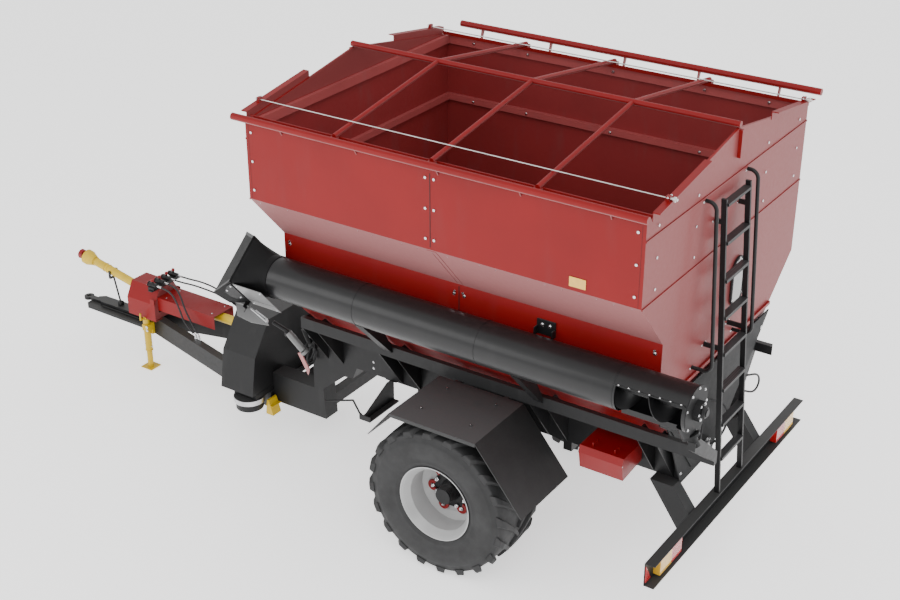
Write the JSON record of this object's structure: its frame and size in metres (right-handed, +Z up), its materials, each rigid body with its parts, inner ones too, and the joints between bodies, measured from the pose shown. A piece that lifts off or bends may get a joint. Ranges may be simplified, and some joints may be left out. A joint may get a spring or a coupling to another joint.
{
  "type": "grain wagon with unloading auger",
  "caption": "Single axle grain cart with a tall sloped red hopper, folded black unloading auger, tube drawbar, drive shaft, ladder and wide lugged tyres.",
  "frame": {"origin": "middle of the wagon's bounding box at ground level", "axes": "+X forward to the hitch, +Y to the wagon's left where the auger is, +Z up"},
  "size_m": [8.065, 3.1633, 4.092],
  "materials": {
    "red_paint": "gloss",
    "black_paint": "satin",
    "black_plastic": "matte",
    "bare_steel": "satin",
    "rim_silver": "satin",
    "yellow_plastic": "satin",
    "yellow_paint": "satin",
    "grey_paint": "satin",
    "tyre_rubber": "matte",
    "hose_rubber": "matte",
    "clear_pane": "gloss",
    "red_lens": "gloss",
    "amber_lens": "gloss"
  },
  "bodies": {
    "wagon": {"auger_hinge": "black_paint", "axle_beam": "black_paint", "bottom_bearing": "black_paint", "bumper": "black_paint", "chassis_rails": "black_paint", "couplers": "black_paint", "cross_members": "black_paint", "drawbar_damper": "black_paint", "drawbar_frame": "black_paint", "drive_guard": "black_paint", "fenders": "black_plastic", "gables": "red_paint", "gearbox": "black_paint", "hitch_eye": "bare_steel", "hopper_front": "red_paint", "hopper_left": "red_paint", "hopper_rear": "red_paint", "hopper_right": "red_paint", "hose_1": "hose_rubber", "hose_2": "hose_rubber", "hose_3": "hose_rubber", "hose_4": "hose_rubber", "inner_rails": "red_paint", "jack_sleeve": "yellow_paint", "ladder": "black_paint", "lamp_amber": "amber_lens", "lamp_red": "red_lens", "neck_frame": "black_paint", "outriggers": "black_paint", "panel_bolts": "bare_steel", "rear_plate": "grey_paint", "rim_tubes": "red_paint", "roof_frame": "red_paint", "shaft_cover": "red_paint", "sight_glass": "clear_pane", "step_bracket": "black_paint", "tarp_brackets": "red_paint", "tarp_cables": "bare_steel", "tool_box": "red_paint", "trough": "red_paint", "wheel_chock": "yellow_plastic"},
    "wheel_left": {"tyre_left": "tyre_rubber", "rim_left": "rim_silver", "hub_left": "black_paint"},
    "wheel_right": {"tyre_right": "tyre_rubber", "rim_right": "rim_silver", "hub_right": "black_paint"},
    "auger": {"auger_tube": "black_paint", "auger_end_plate": "grey_paint", "auger_hood": "black_paint", "hood_side_plate": "grey_paint"},
    "upper_screw": {"auger_screw": "bare_steel"},
    "outlet_flap": {"hood_flap": "grey_paint"},
    "lower_screw": {"bottom_screw": "bare_steel"},
    "drive_line": {"inner_shaft": "yellow_plastic"},
    "front_shaft": {"pto_guard": "yellow_plastic"},
    "front_yoke": {"pto_yoke": "red_paint"},
    "shaft_rest": {"pto_support": "black_paint"},
    "jack": {"jack_leg": "yellow_paint"},
    "box_lid": {"tool_box_lid": "red_paint"}
  },
  "joints": [
    {"name": "wheel_left_spin", "type": "hinge", "parent": "wagon", "child": "wheel_left", "pos_m": [-1.7025, 1.18, 0.71], "axis": [0, 1, 0], "continuous": true},
    {"name": "wheel_right_spin", "type": "hinge", "parent": "wagon", "child": "wheel_right", "pos_m": [-1.7025, -1.18, 0.71], "axis": [0, 1, 0], "continuous": true},
    {"name": "auger_swing", "type": "hinge", "parent": "wagon", "child": "auger", "pos_m": [-3.7775, 1.3, 2.327], "axis": [0.5, 0, 0.866], "range_deg": [0, 107]},
    {"name": "upper_screw_spin", "type": "hinge", "parent": "auger", "child": "upper_screw", "pos_m": [-1.7025, 1.3, 2.327], "axis": [1, 0, 0], "continuous": true},
    {"name": "flap_open", "type": "hinge", "parent": "auger", "child": "outlet_flap", "pos_m": [0.3975, 1.36221, 1.98109], "axis": [1, 0, 0], "range_deg": [0, 75]},
    {"name": "lower_screw_spin", "type": "hinge", "parent": "wagon", "child": "lower_screw", "pos_m": [-1.7025, 0.27, 1.365], "axis": [1, 0, 0], "continuous": true},
    {"name": "drive_line_spin", "type": "hinge", "parent": "wagon", "child": "drive_line", "pos_m": [2.2975, 0, 0.8], "axis": [1, 0, 0], "continuous": true},
    {"name": "front_shaft_lift", "type": "hinge", "parent": "wagon", "child": "front_shaft", "pos_m": [2.9975, 0, 0.8], "axis": [0, -1, 0], "range_deg": [0, 15]},
    {"name": "front_yoke_spin", "type": "hinge", "parent": "front_shaft", "child": "front_yoke", "pos_m": [3.9975, 0, 1], "axis": [0.9806, 0, 0.1961], "continuous": true},
    {"name": "shaft_rest_fold", "type": "hinge", "parent": "wagon", "child": "shaft_rest", "pos_m": [3.4775, 0, 0.539], "axis": [0, 1, 0], "range_deg": [0, 65]},
    {"name": "jack_extend", "type": "slide", "parent": "wagon", "child": "jack", "axis": [0, 0, 1], "range_m": [0, 0.18]},
    {"name": "box_lid_open", "type": "hinge", "parent": "wagon", "child": "box_lid", "pos_m": [-3.0025, 0.606, 1.43], "axis": [1, 0, 0], "range_deg": [0, 38]}
  ],
  "couplings": [
    {"joint": "drive_line_spin", "follows": "lower_screw_spin", "ratio": 2.8},
    {"joint": "front_yoke_spin", "follows": "lower_screw_spin", "ratio": 2.8}
  ]
}
